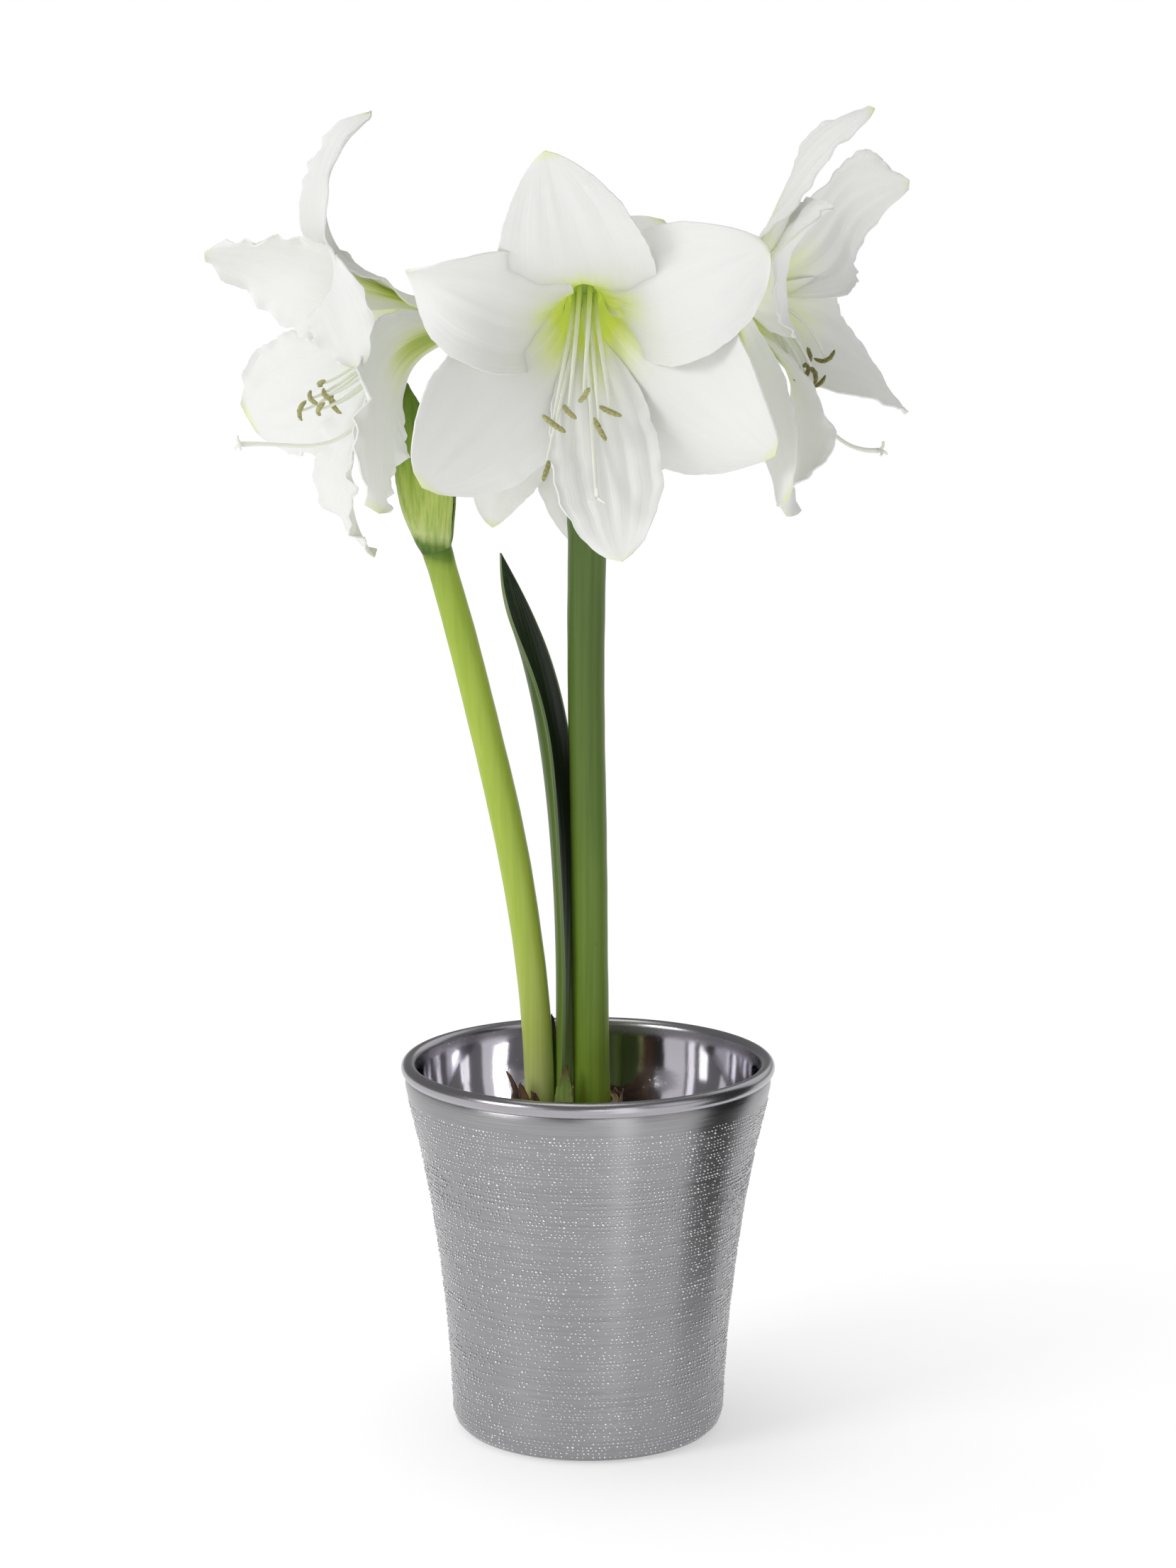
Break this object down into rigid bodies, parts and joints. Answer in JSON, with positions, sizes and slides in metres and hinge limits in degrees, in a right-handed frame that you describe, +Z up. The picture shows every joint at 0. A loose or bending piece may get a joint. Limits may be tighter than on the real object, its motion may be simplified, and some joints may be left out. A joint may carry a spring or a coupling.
{
  "type": "amaryllis in a pot",
  "caption": "White amaryllis in bloom on upright stems, growing from a bulb in a flared silver-glazed pot with a beaded finish.",
  "frame": {"origin": "centre of the pot's underside, on the surface it stands on", "axes": "+Z up along the pot's axis, +X to the right seen from the front, the front bloom looks towards -Y"},
  "size_m": [0.2937, 0.2642, 0.561],
  "materials": {
    "pot": "silver-grey metallic glaze, brushed look with raised beads, glossy lip and inside",
    "soil": "dark crumbly potting soil",
    "bulb": "fleshy bulb scales, matt",
    "bulb_tunic": "dry brown papery skin",
    "scape_left": "lime green stem, waxy, paler at the foot",
    "scape_right": "green stem, waxy with fine lengthwise streaks",
    "leaf_long": "dark green strap leaf, waxy",
    "leaf_short": "dark green leaf with a dry brown tip",
    "leaf_stub": "torn leaf stub with a dry brown tip",
    "spathe": "lime to dark green bract, streaked",
    "stalk": "green flower stalk and ovary",
    "perianth": "white petals with a green throat, soft and satin",
    "stamens": "white filaments with olive-beige anthers, grainy",
    "pistil": "white style with a three-armed stigma"
  },
  "bodies": {
    "root": {"pot": "pot", "soil": "soil", "bulb": "bulb", "bulb_tunic": "bulb_tunic", "scape_left": "scape_left", "scape_right": "scape_right", "leaf_long": "leaf_long", "leaf_short": "leaf_short", "leaf_stub": "leaf_stub", "spathe_front": "spathe", "spathe_back": "spathe", "stalk_centre": "stalk", "stalk_left": "stalk", "stalk_right": "stalk", "stalk_back": "stalk", "perianth_centre": "perianth", "perianth_left": "perianth", "perianth_right": "perianth", "perianth_back": "perianth", "stamens_centre": "stamens", "stamens_left": "stamens", "stamens_right": "stamens", "stamens_back": "stamens", "pistil_centre": "pistil", "pistil_left": "pistil", "pistil_right": "pistil", "pistil_back": "pistil"}
  },
  "joints": []
}
